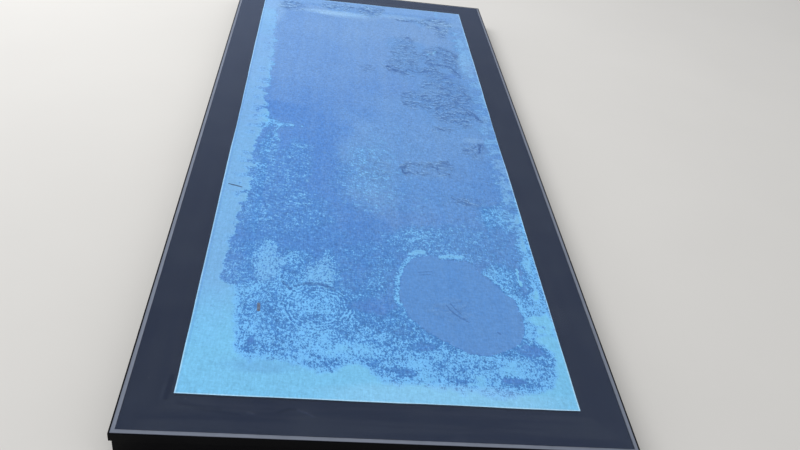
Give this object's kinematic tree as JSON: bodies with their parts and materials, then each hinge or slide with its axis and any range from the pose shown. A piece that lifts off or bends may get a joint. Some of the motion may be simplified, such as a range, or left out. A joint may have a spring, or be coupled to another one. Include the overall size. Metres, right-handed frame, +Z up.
{
  "type": "roof skylight",
  "caption": "Fixed flat-roof skylight: stepped double-glazed unit with a black enamelled border under blue protective film, on a low aluminium kerb frame with a skirt.",
  "frame": {"origin": "middle of the footprint, level with the bottom edge of the skirt", "axes": "+X across the width, to the right seen from the near end; +Y along the length, away from the near end; +Z up, out of the roof"},
  "size_m": [1.124, 2.624, 0.09],
  "materials": {
    "clear_glass": "clear float glass, toughened outside and laminated inside",
    "black_enamel": "black ceramic enamel fired on the glass, glossy through it",
    "blue_film": "blue low-tack polythene film, satin, faded and wrinkled in places",
    "clear_interlayer": "clear butyral sheet",
    "spacer_metal": "mill-finish aluminium",
    "black_coated_aluminium": "black powder coat, satin and dusty",
    "white_coated_aluminium": "white powder coat, satin",
    "mill_aluminium": "mill-finish extrusion",
    "black_polyamide": "glass-filled polyamide, matt",
    "grey_polyamide": "moulded polyamide, matt",
    "black_gasket_rubber": "closed-cell gasket rubber, matt",
    "black_butyl": "butyl bead, tacky",
    "black_sealant": "black silicone, matt",
    "grey_sealant": "grey weathering silicone, tooled and dusty",
    "desiccant": "loose molecular-sieve beads"
  },
  "bodies": {
    "root": {"outer_pane": "clear_glass", "inner_pane_upper_ply": "clear_glass", "inner_pane_lower_ply": "clear_glass", "black_border": "black_enamel", "protective_film": "blue_film", "inner_pane_interlayer": "clear_interlayer", "spacer_bar_near": "spacer_metal", "outer_rail_near": "black_coated_aluminium", "inner_rail_near": "white_coated_aluminium", "lower_break_strip_near": "black_polyamide", "upper_break_strip_near": "black_polyamide", "glazing_tape_near": "black_gasket_rubber", "kerb_gasket_near": "black_gasket_rubber", "spacer_bar_right": "spacer_metal", "outer_rail_right": "black_coated_aluminium", "inner_rail_right": "white_coated_aluminium", "lower_break_strip_right": "black_polyamide", "upper_break_strip_right": "black_polyamide", "glazing_tape_right": "black_gasket_rubber", "kerb_gasket_right": "black_gasket_rubber", "spacer_bar_far": "spacer_metal", "outer_rail_far": "black_coated_aluminium", "inner_rail_far": "white_coated_aluminium", "lower_break_strip_far": "black_polyamide", "upper_break_strip_far": "black_polyamide", "glazing_tape_far": "black_gasket_rubber", "kerb_gasket_far": "black_gasket_rubber", "spacer_bar_left": "spacer_metal", "outer_rail_left": "black_coated_aluminium", "inner_rail_left": "white_coated_aluminium", "lower_break_strip_left": "black_polyamide", "upper_break_strip_left": "black_polyamide", "glazing_tape_left": "black_gasket_rubber", "kerb_gasket_left": "black_gasket_rubber", "spacer_key_near_left": "grey_polyamide", "outer_cleat_near_left": "mill_aluminium", "inner_cleat_near_left": "mill_aluminium", "spacer_key_near_right": "grey_polyamide", "outer_cleat_near_right": "mill_aluminium", "inner_cleat_near_right": "mill_aluminium", "spacer_key_far_right": "grey_polyamide", "outer_cleat_far_right": "mill_aluminium", "inner_cleat_far_right": "mill_aluminium", "spacer_key_far_left": "grey_polyamide", "outer_cleat_far_left": "mill_aluminium", "inner_cleat_far_left": "mill_aluminium", "desiccant_fill": "desiccant", "butyl_seal_upper": "black_butyl", "butyl_seal_lower": "black_butyl", "edge_sealant": "black_sealant", "structural_bond": "black_sealant", "weather_seal": "grey_sealant", "setting_blocks": "grey_polyamide"}
  },
  "joints": []
}
